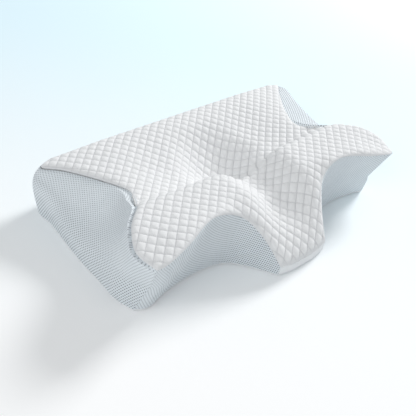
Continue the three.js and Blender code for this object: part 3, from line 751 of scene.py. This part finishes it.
def border_tuck(grid):
    """How far each point of a panel turns in: at its seams on all four borders."""
    down = lengths(grid, 1)
    over = lengths(grid, 0)
    tuck = np.minimum(seam_tuck(down), seam_tuck(down[:, -1:] - down))
    return np.minimum(tuck, np.minimum(seam_tuck(over), seam_tuck(over[-1:] - over)))


def end_weave(stretch, grid):
    """The mesh of an end panel lies on the bias: its rows run out and towards the back."""
    down = lengths(grid, 1)
    up = down[:, -1:] - down
    run = np.concatenate([[0], np.cumsum(np.linalg.norm(np.diff(stretch.base, axis=0), axis=1))])
    forward = run[:, None] - (grid[:, :, 1] - stretch.base[:, None, 1])
    across = forward * math.cos(BIAS) - up * math.sin(BIAS)
    along = -forward * math.sin(BIAS) - up * math.cos(BIAS)
    # the holes show darker towards the bottom, and by a share per end that is painted shade
    hole_tone_and_painted_shade = np.minimum(1, stretch.openness + 0.35 * ramp(grid[:, :, 2], 80, 25))
    return np.stack([across, along, hole_tone_and_painted_shade], axis=2)


def arm_weave(stretch, grid):
    """The mesh of a front panel swings from the bias at the wing tip to upright at the lobe."""
    down = lengths(grid, 1)
    up = down[:, -1:] - down
    steps = np.linalg.norm(np.diff(stretch.base, axis=0), axis=1)
    run = np.concatenate([[0], np.cumsum(steps)])
    turn = np.radians(53 - 48 * ramp(run / run[-1], 0.1, 0.9))
    middle = (turn[1:] + turn[:-1]) / 2
    sideways = np.concatenate([[0], np.cumsum(np.sin(middle) * steps)])[:, None]
    onwards = np.concatenate([[0], np.cumsum(np.cos(middle) * steps)])[:, None]
    across = -up * np.cos(turn)[:, None] - sideways
    along = onwards - up * np.sin(turn)[:, None]
    # painted shade: the holes are painted darker towards the lobe, where the lobe shades the panel
    hole_tone_and_painted_shade = (0.5 + 0.5 * ramp(run / run[-1], 0.5, 0.85))[:, None]
    return np.stack(np.broadcast_arrays(across, along, hole_tone_and_painted_shade), axis=2)


def plain_weave(stretch, grid):
    """Rows along the panel."""
    down = lengths(grid, 1)
    run = lengths(grid, 0)
    return np.stack([down, run, np.full_like(run, 0.5)], axis=2)


# Beside the wing the end panel is stretched into a taut fold: the fold's distance from the
# seam, and how far it stands out, by station.
FOLD_STATIONS = [3.4, 3.9, 4.4, 5.0, 5.6, 7, 7.6, 8]
FOLD_AWAY = [4, 10, 15, 6, 2.6, 2.4, 3, 6]
FOLD_OUT = [0, 3, 5, 5, 4, 4, 3, 1]
FOLD_ROWS = 12  # rows of the mesh from the seam to the fold
FOLD_CREASE = 5  # how far the cloth dips between the two
FOLD_FADE = 16


def fold_rows(stretch):
    """Rows of an end panel, per column, with one of them along the fold."""
    total = lengths(wall_grid(stretch, "end", np.linspace(0, 1, 60)), 1)[:, -1:]
    away = np.interp(stretch.station, FOLD_STATIONS, FOLD_AWAY)[:, None] / total
    inner = (1 - np.cos(np.pi * np.linspace(0, 1, FOLD_ROWS + 1)[:-1])) / 2
    outer = np.concatenate([np.linspace(0, 0.12, 8), 0.12 + 0.88 * (ROWS[10:] - ROWS[10]) / (1 - ROWS[10])])
    outer = np.unique(outer)
    return np.concatenate([away * inner, away + (1 - away) * outer], axis=1)


def fold_out(stretch, down):
    """How far an end panel stands out beside the wing, with the crease before the fold."""
    away = np.interp(stretch.station, FOLD_STATIONS, FOLD_AWAY)[:, None]
    stand = np.interp(stretch.station, FOLD_STATIONS, FOLD_OUT)[:, None]
    share = np.clip(down / away, 0, 1)
    rise = stand * ramp(share, 0.25, 1) - FOLD_CREASE * (stand / 9) * np.sin(np.pi * share)
    return np.where(share < 1, rise, stand * np.exp(-np.maximum(down - away, 0) / FOLD_FADE))


def panel(name, stretch, kind, weave, left=False):
    rows = fold_rows(stretch) if kind == "end" else ROWS
    grid = wall_grid(stretch, kind, rows)
    normals = grid_normals(grid)
    flat = weave(stretch, grid)
    out = border_tuck(grid)
    if kind == "end":
        out = out + fold_out(stretch, lengths(grid, 1))
    outer = grid + normals * out[..., None]
    inner = grid - normals * (MESH_THICKNESS - np.minimum(out, 0) * 0.3)[..., None]
    if left:
        outer, inner = outer * MIRROR, inner * MIRROR
    return shell(name + "_cloth", outer, inner, flat), grid


def add_panel(name, stretch, kind, weave, slot, **options):
    piece, grid = panel(name, stretch, kind, weave, **options)
    dress(piece, "pillow", materials[slot], [name])
    return piece


for hand in HANDS:
    left = hand == "left"
    add_panel(f"side_panel_{hand}", side[hand], "end", end_weave, "air_mesh", left=left)
    add_panel(f"front_panel_{hand}", arm[hand], "arm", arm_weave, "air_mesh", left=left)


def both_halves(stretch):
    """A stretch that ends on x = 0, and its mirror image beyond."""
    station = np.concatenate([stretch.station, stretch.station[-2::-1]])
    seam = np.concatenate([stretch.seam, stretch.seam[-2::-1] * MIRROR])
    base = np.concatenate([stretch.base, stretch.base[-2::-1] * MIRROR])
    return Stretch(station, seam, base)


add_panel("lobe_band", both_halves(lobe), "arm", plain_weave, "smooth_cloth")

# ---- The back and its zip ----------------------------------------------------------------


def back_panel(name, low, high):
    """A strip of the back wall between two heights."""
    stretch = back_stretch(4)
    rows = np.linspace(0, 1, 400)
    grid = wall_grid(stretch, "back", rows)
    heights = grid[len(grid) // 2, :, 2]
    first = np.interp(-high, -heights, rows)
    last = np.interp(-low, -heights, rows)
    grid = wall_grid(stretch, "back", first + (last - first) * ROWS)
    normals = grid_normals(grid)
    flat = plain_weave(stretch, grid)
    out = border_tuck(grid)
    outer = grid + normals * out[..., None]
    inner = grid - normals * (MESH_THICKNESS - np.minimum(out, 0) * 0.3)[..., None]
    piece = shell(name + "_cloth", outer, inner, flat)
    dress(piece, "pillow", materials["air_mesh"], [name])
    return piece


HEM = TAPE_WIDTH + 0.3
back_panel("back_panel_upper", ZIP_HEIGHT + HEM, BACK_CORNER[0][2])
back_panel("back_panel_lower", BASE_EDGE_HEIGHT, ZIP_HEIGHT - HEM)


def tape(name, sign):
    x = np.linspace(-TAPE_HALF_LENGTH, TAPE_HALF_LENGTH, 200)
    z = np.linspace(3.3, TAPE_WIDTH, 8)
    grid = np.stack(np.broadcast_arrays(x[:, None], BACK_Y - 0.3, ZIP_HEIGHT + sign * z[None, :]), axis=2)
    weave = np.stack(np.broadcast_arrays(x[:, None], z[None, :], 0), axis=2)
    piece = shell(name + "_cloth", grid, grid - [0, 0.6, 0], weave)
    dress(piece, "pillow", materials["zip_tape"], [name])


def tube(name, path, radius, sides):
    """A closed round tube along a path, its ends capped."""
    path = np.asarray(path, float)
    forward = np.gradient(path, axis=0)
    forward /= np.linalg.norm(forward, axis=1, keepdims=True)
    up = np.cross(forward, [1, 0, 0])
    up /= np.linalg.norm(up, axis=1, keepdims=True)
    right = np.cross(forward, up)
    turn = np.linspace(0, 2 * np.pi, sides, endpoint=False)[None, :, None]
    rings = path[:, None] + radius * (np.cos(turn) * up[:, None] + np.sin(turn) * right[:, None])
    faces = quads(len(path), sides, wrap=True)
    faces.append(tuple(range(sides)))
    faces.append(tuple((len(path) - 1) * sides + k for k in reversed(range(sides))))
    return make_piece(name, rings.reshape(-1, 3), faces)


COIL_PITCH = 1.6
COIL_STEPS = 8  # path points to one turn of the coil
WIRE_RADIUS = 0.28


def coil(name, sign):
    """A nylon filament wound round the edge of its tape, flattened as zip teeth are."""
    turns = round(2 * (ZIP_HALF_LENGTH - 0.5) / COIL_PITCH)
    turn = np.linspace(0, turns, turns * COIL_STEPS + 1)
    x = -turns * COIL_PITCH / 2 + turn * COIL_PITCH + (COIL_PITCH / 2 if sign < 0 else 0)
    angle = 2 * np.pi * turn
    z = 1.85 - 1.05 * np.cos(angle)
    y = -0.6 + 0.5 * np.sin(angle)
    x = np.clip(x, 0.3 - ZIP_HALF_LENGTH, ZIP_HALF_LENGTH - 0.3)
    path = np.column_stack([x, BACK_Y + y, ZIP_HEIGHT + sign * z])
    piece = tube(name + "_winding", path, WIRE_RADIUS, 5)
    dress(piece, "pillow", materials["zip_coil"], [name])


for side_name, sign in (("upper", 1), ("lower", -1)):
    tape(f"zipper_tape_{side_name}", sign)
    coil(f"zipper_coil_{side_name}", sign)


def bevelled_copy(node, body, width):
    """The CAD node's own shape with its edges rounded over."""
    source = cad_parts[node]
    mesh = source.data.copy()
    mesh.name = node + "_metal"
    piece = bpy.data.objects.new(node + "_metal", mesh)
    piece.matrix_world = source.matrix_world
    bpy.context.collection.objects.link(piece)
    build = bmesh.new()
    build.from_mesh(mesh)
    bmesh.ops.remove_doubles(build, verts=build.verts, dist=1e-6)
    bmesh.ops.dissolve_limit(build, angle_limit=math.radians(2), verts=build.verts, edges=build.edges)
    sharp = [edge for edge in build.edges if edge.is_manifold and edge.calc_face_angle() > math.radians(25)]
    bmesh.ops.bevel(
        build, geom=sharp, offset=width * MM, offset_type="OFFSET", segments=2, profile=0.6, affect="EDGES",
        clamp_overlap=True,
    )
    build.to_mesh(mesh)
    build.free()
    mesh.shade_smooth()
    return dress(piece, body, materials["zip_metal"], [node])


bevelled_copy("zipper_slider", "slider", 0.12)
bevelled_copy("zipper_pull", "pull", 0.15)
for node in ("zipper_top_stop_upper", "zipper_top_stop_lower", "zipper_bottom_stop"):
    bevelled_copy(node, "pillow", 0.3)


def care_label():
    low, high = (np.array(corner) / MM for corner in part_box("care_label"))
    x = np.linspace(low[0], high[0], 24)
    z = np.linspace(high[2], low[2], 24)
    hang = (high[2] - z) / (high[2] - low[2])
    curl = 1.8 * hang[None, :] ** 2 * (0.6 + 0.4 * np.cos(2 * np.pi * (x[:, None] - low[0]) / 40))
    grid = np.stack(np.broadcast_arrays(x[:, None], high[1] + curl, z[None, :]), axis=2)
    weave = np.stack(np.broadcast_arrays(x[:, None], z[None, :], 0), axis=2)
    piece = shell("care_label_cloth", grid, grid - [0, 0.3, 0], weave)
    dress(piece, "pillow", materials["label_cloth"], ["care_label"])


care_label()

# ---- The bottom --------------------------------------------------------------------------


def base_outline():
    """The base edge, once round, anticlockwise, without its height."""
    right, left = (np.concatenate([side[h].base[:-1], arm[h].base[:-1], lobe.base]) for h in HANDS)
    back = back_stretch(4).base[::-1]
    return np.concatenate([right[::-1], back[1:-1], (left * MIRROR)[:-1]])


def inward(outline, smoothing=5):
    """Directions into an outline; smoothing, in points, rounds its corners off."""
    tangent = np.roll(outline, -smoothing, axis=0) - np.roll(outline, smoothing, axis=0)
    normal = np.column_stack([-tangent[:, 1], tangent[:, 0]])
    return normal / np.linalg.norm(normal, axis=1, keepdims=True)


BOTTOM_ROUNDING = 7  # how far in from the base edge the bottom is flat


def bottom_panel():
    outline = base_outline()
    to_middle = inward(outline)
    rings = []
    for turn in np.linspace(0, np.pi / 2, 7):
        inset = BOTTOM_ROUNDING * (1 - math.cos(turn))
        height = BASE_EDGE_HEIGHT * (1 - math.sin(turn))
        out = seam_tuck(BASE_EDGE_HEIGHT - height)
        plan = outline[:, :2] + to_middle * (inset - out)
        rings.append(np.column_stack([plan, np.full(len(plan), height)]))
    edge = rings[-1]
    lattice = np.array([(x, y) for x in np.arange(-290, 291, 20.0) for y in np.arange(-180, 181, 20.0)])
    lattice = lattice[inside(lattice, edge)]
    away, _ = outline_distance(lattice, edge)
    plan, faces = triangulate(edge, lattice[away > 5])
    count = len(edge)
    flat_points = np.column_stack([plan[count:], np.zeros(len(plan) - count)])
    outer = np.concatenate([*rings, flat_points])
    shift = (len(rings) - 1) * count
    outer_faces = quads(len(rings), count, wrap=True) + [tuple(shift + v for v in face) for face in faces]
    lift = np.zeros_like(outer)
    for k, turn in enumerate(np.linspace(0, np.pi / 2, 7)):
        part = slice(k * count, (k + 1) * count)
        lift[part, :2] = to_middle * math.cos(turn)
        lift[part, 2] = math.sin(turn)
    lift[len(rings) * count:, 2] = 1
    inner = outer + lift * BOTTOM_THICKNESS
    total = len(outer)
    all_faces = outer_faces + [tuple(total + v for v in reversed(face)) for face in outer_faces]
    for i in range(count):
        j = (i + 1) % count
        all_faces.append((j, i, total + i, total + j))
    weave = np.column_stack([outer[:, :2], np.zeros(total)])
    points, weaves = np.concatenate([outer, inner]), np.concatenate([weave, weave])
    piece = make_piece("bottom_panel_cloth", points, all_faces, {"weave": weaves})
    dress(piece, "pillow", materials["smooth_cloth"], ["bottom_panel"])


bottom_panel()

# ---- Foam and liner ----------------------------------------------------------------------

TOP_REACHES = np.array([0.1, 0.2, 0.3, 0.4, 0.5, 0.6, 0.7, 0.8, 0.87, 0.92, 0.96, 0.985, 1])
WALL_ROWS = np.linspace(0, 1, 13)[1:]


def body_grid():
    """Rings of points over the whole pillow, [ring, column], from the top to the bottom."""
    walls, seams = {}, {}
    for hand in HANDS:
        half = [(SIDE_STATIONS, "end"), (ARM_STATIONS, "arm"), (LOBE_STATIONS, "arm")]
        parts = [(stretch_of(stations, 9, hand), kind) for stations, kind in half]
        grids = [wall_grid(part, kind, WALL_ROWS) for part, kind in parts]
        walls[hand] = np.concatenate([grids[0][:-1], grids[1][:-1], grids[2]])
        seams[hand] = np.concatenate([parts[0][0].seam[:-1], parts[1][0].seam[:-1], parts[2][0].seam])
    straight = back_stretch(12)
    back_wall = wall_grid(straight, "back", WALL_ROWS)[::-1][1:-1]
    back_seam = straight.seam[::-1][1:-1]
    wall = np.concatenate([walls["right"][::-1], back_wall, (walls["left"] * MIRROR)[:-1]])
    seam = np.concatenate([seams["right"][::-1], back_seam, (seams["left"] * MIRROR)[:-1]])
    rings = []
    overshoot = crown_height(seam[:, 0], seam[:, 1]) - seam[:, 2]
    radius = 14 + 16 * ramp(seam[:, 1], 150, 180)
    for reach in TOP_REACHES:
        x, y = seam[:, 0] * reach, seam[:, 1] * reach
        in_edge = np.maximum(0, 1 - (1 - reach) * np.hypot(seam[:, 0], seam[:, 1]) / radius)
        rings.append(np.column_stack([x, y, crown_height(x, y) - overshoot * (1 - np.sqrt(1 - in_edge**2))]))
    rings += [wall[:, row] for row in range(wall.shape[1])]
    base = rings[-1]
    reach = np.hypot(base[:, 0], base[:, 1])[:, None]
    for inset, height in ((2, 1.4), (8, 0)):
        rings.append(np.column_stack([base[:, :2] * (1 - inset / reach), np.full(len(base), height)]))
    for share in (0.75, 0.5, 0.25):
        rings.append(np.column_stack([base[:, :2] * share, np.zeros(len(base))]))
    return np.array(rings)


body_rings = body_grid()
ring_total = len(body_rings)
SEAM_RING = len(TOP_REACHES) - 1
BASE_RING = SEAM_RING + len(WALL_ROWS)


def body_normals():
    around = np.roll(body_rings, -1, axis=1) - np.roll(body_rings, 1, axis=1)
    down = np.gradient(body_rings, axis=0)
    normals = np.cross(down, around)
    normals /= np.linalg.norm(normals, axis=2, keepdims=True)
    return normals if normals[0, :, 2].mean() > 0 else -normals


body_out = body_normals()


def depth_of(ring):
    """How deep the liner lies under the cover at a ring."""
    if ring <= SEAM_RING:
        return QUILT_THICKNESS + LAYER_GAP
    return (MESH_THICKNESS if ring <= BASE_RING else BOTTOM_THICKNESS) + LAYER_GAP


def layer(extra):
    """The rings moved in under the cover, and by extra more."""
    depth = np.array([depth_of(ring) + extra for ring in range(ring_total)])
    return body_rings - body_out * depth[:, None, None]


def capped(rings, at_top):
    """Points and faces of rings closed over their centre, at the top or at the bottom end."""
    count = rings.shape[1]
    points = rings.reshape(-1, 3)
    faces = quads(len(rings), count, wrap=True)
    ring = 0 if at_top else len(rings) - 1
    centre = rings[ring].mean(axis=0)
    pole = len(points)
    points = np.concatenate([points, centre[None]])
    for j in range(count):
        faces.append((pole, ring * count + j, ring * count + (j + 1) % count))
    return points, faces


def foam():
    rings = layer(LINER_THICKNESS + LAYER_GAP)
    points, faces = capped(rings, True)
    count = rings.shape[1]
    pole = len(points)
    points = np.concatenate([points, rings[-1].mean(axis=0)[None]])
    last = (len(rings) - 1) * count
    for j in range(count):
        faces.append((pole, last + (j + 1) % count, last + j))
    piece = make_piece("foam_core_block", points, faces)
    dress(piece, "pillow", materials["memory_foam"], ["foam_core"])


def liner(name, rings, at_top):
    part = slice(rings.start, rings.stop)
    outer, outer_faces = capped(layer(0)[part], at_top)
    inner, _ = capped(layer(LINER_THICKNESS)[part], at_top)
    total = len(outer)
    count = body_rings.shape[1]
    faces = outer_faces + [tuple(total + v for v in reversed(face)) for face in outer_faces]
    open_ring = (rings.stop - rings.start - 1) * count if at_top else 0
    for j in range(count):
        a, b = open_ring + j, open_ring + (j + 1) % count
        faces.append((a, b, total + b, total + a))
    weave = np.column_stack([outer[:, :2], np.zeros(total)])
    points, weaves = np.concatenate([outer, inner]), np.concatenate([weave, weave])
    piece = make_piece(name + "_cloth", points, faces, {"weave": weaves})
    dress(piece, "pillow", materials["liner_cloth"], [name])


foam()
middle_ring = SEAM_RING + len(WALL_ROWS) // 2
liner("liner_top", range(0, middle_ring + 1), True)
liner("liner_bottom", range(middle_ring + 1, ring_total), False)

# ---- Camera, floor and light -------------------------------------------------------------

CAMERA_PLACE = Vector((-0.6985, -0.6138, 0.7337))
CAMERA_AZIMUTH = math.radians(-46.46)
CAMERA_ELEVATION = math.radians(38.78)
CAMERA_ROLL = math.radians(8.8)
CAMERA_LENS = 55.3


def add_camera():
    data = bpy.data.cameras.new("camera")
    data.lens = CAMERA_LENS
    data.sensor_width = 36
    camera = bpy.data.objects.new("camera", data)
    bpy.context.collection.objects.link(camera)
    level = math.cos(CAMERA_ELEVATION)
    forward = Vector((
        -math.sin(CAMERA_AZIMUTH) * level,
        math.cos(CAMERA_AZIMUTH) * level,
        -math.sin(CAMERA_ELEVATION),
    ))
    turn = forward.to_track_quat("-Z", "Y").to_matrix() @ Matrix.Rotation(CAMERA_ROLL, 3, "Z")
    camera.matrix_world = Matrix.Translation(CAMERA_PLACE) @ turn.to_4x4()
    bpy.context.scene.camera = camera


FLOOR_REACH = 30  # metres from the pillow to each edge of the floor
FLOOR_GAP = 0.0003  # how far the floor lies under the pillow


def add_floor():
    mesh = bpy.data.meshes.new("floor")
    corners = [(x * FLOOR_REACH, y * FLOOR_REACH, 0) for x, y in ((-1, -1), (1, -1), (1, 1), (-1, 1))]
    mesh.from_pydata(corners, [], [(0, 1, 2, 3)])
    floor = bpy.data.objects.new("floor", mesh)
    floor.location.z = -FLOOR_GAP
    bpy.context.collection.objects.link(floor)
    shader = Shader("floor_paper", Roughness=0.9)
    parts = shader.node("ShaderNodeSeparateXYZ", {"Vector": shader.place()})
    slant = [shader.maths("MULTIPLY", parts.outputs[k], (0.72, 0.69)[k]) for k in (0, 1)]
    depth = shader.maths("ADD", *slant)
    share = shader.step(depth, -0.45, 0.75)
    floor.data.materials.append(shader.finish(shader.mix(share, (1.0, 1.0, 1.0), (0.76, 0.93, 1.0))))


def add_light(name, place, target, size, power, color=(1, 1, 1)):
    data = bpy.data.lights.new(name, "AREA")
    data.shape = "DISK"
    data.size = size
    data.energy = power
    data.color = color
    lamp = bpy.data.objects.new(name, data)
    lamp.location = place
    lamp.rotation_mode = "QUATERNION"
    lamp.rotation_quaternion = (Vector(target) - Vector(place)).to_track_quat("-Z", "Y")
    bpy.context.collection.objects.link(lamp)


add_camera()
add_floor()
add_light("key", (3.5, 0.5, 2.1), (0, 0, 0.05), 1.3, 128)
add_light("fill", (-2.6, -0.6, 2.0), (0, 0, 0.05), 2.6, 30)
world = bpy.data.worlds.new("world")
world.use_nodes = True
world.node_tree.nodes["Background"].inputs["Color"].default_value = (0.95, 0.98, 1, 1)
world.node_tree.nodes["Background"].inputs["Strength"].default_value = 0.5
bpy.context.scene.world = world
bpy.context.scene.view_settings.view_transform = "Standard"
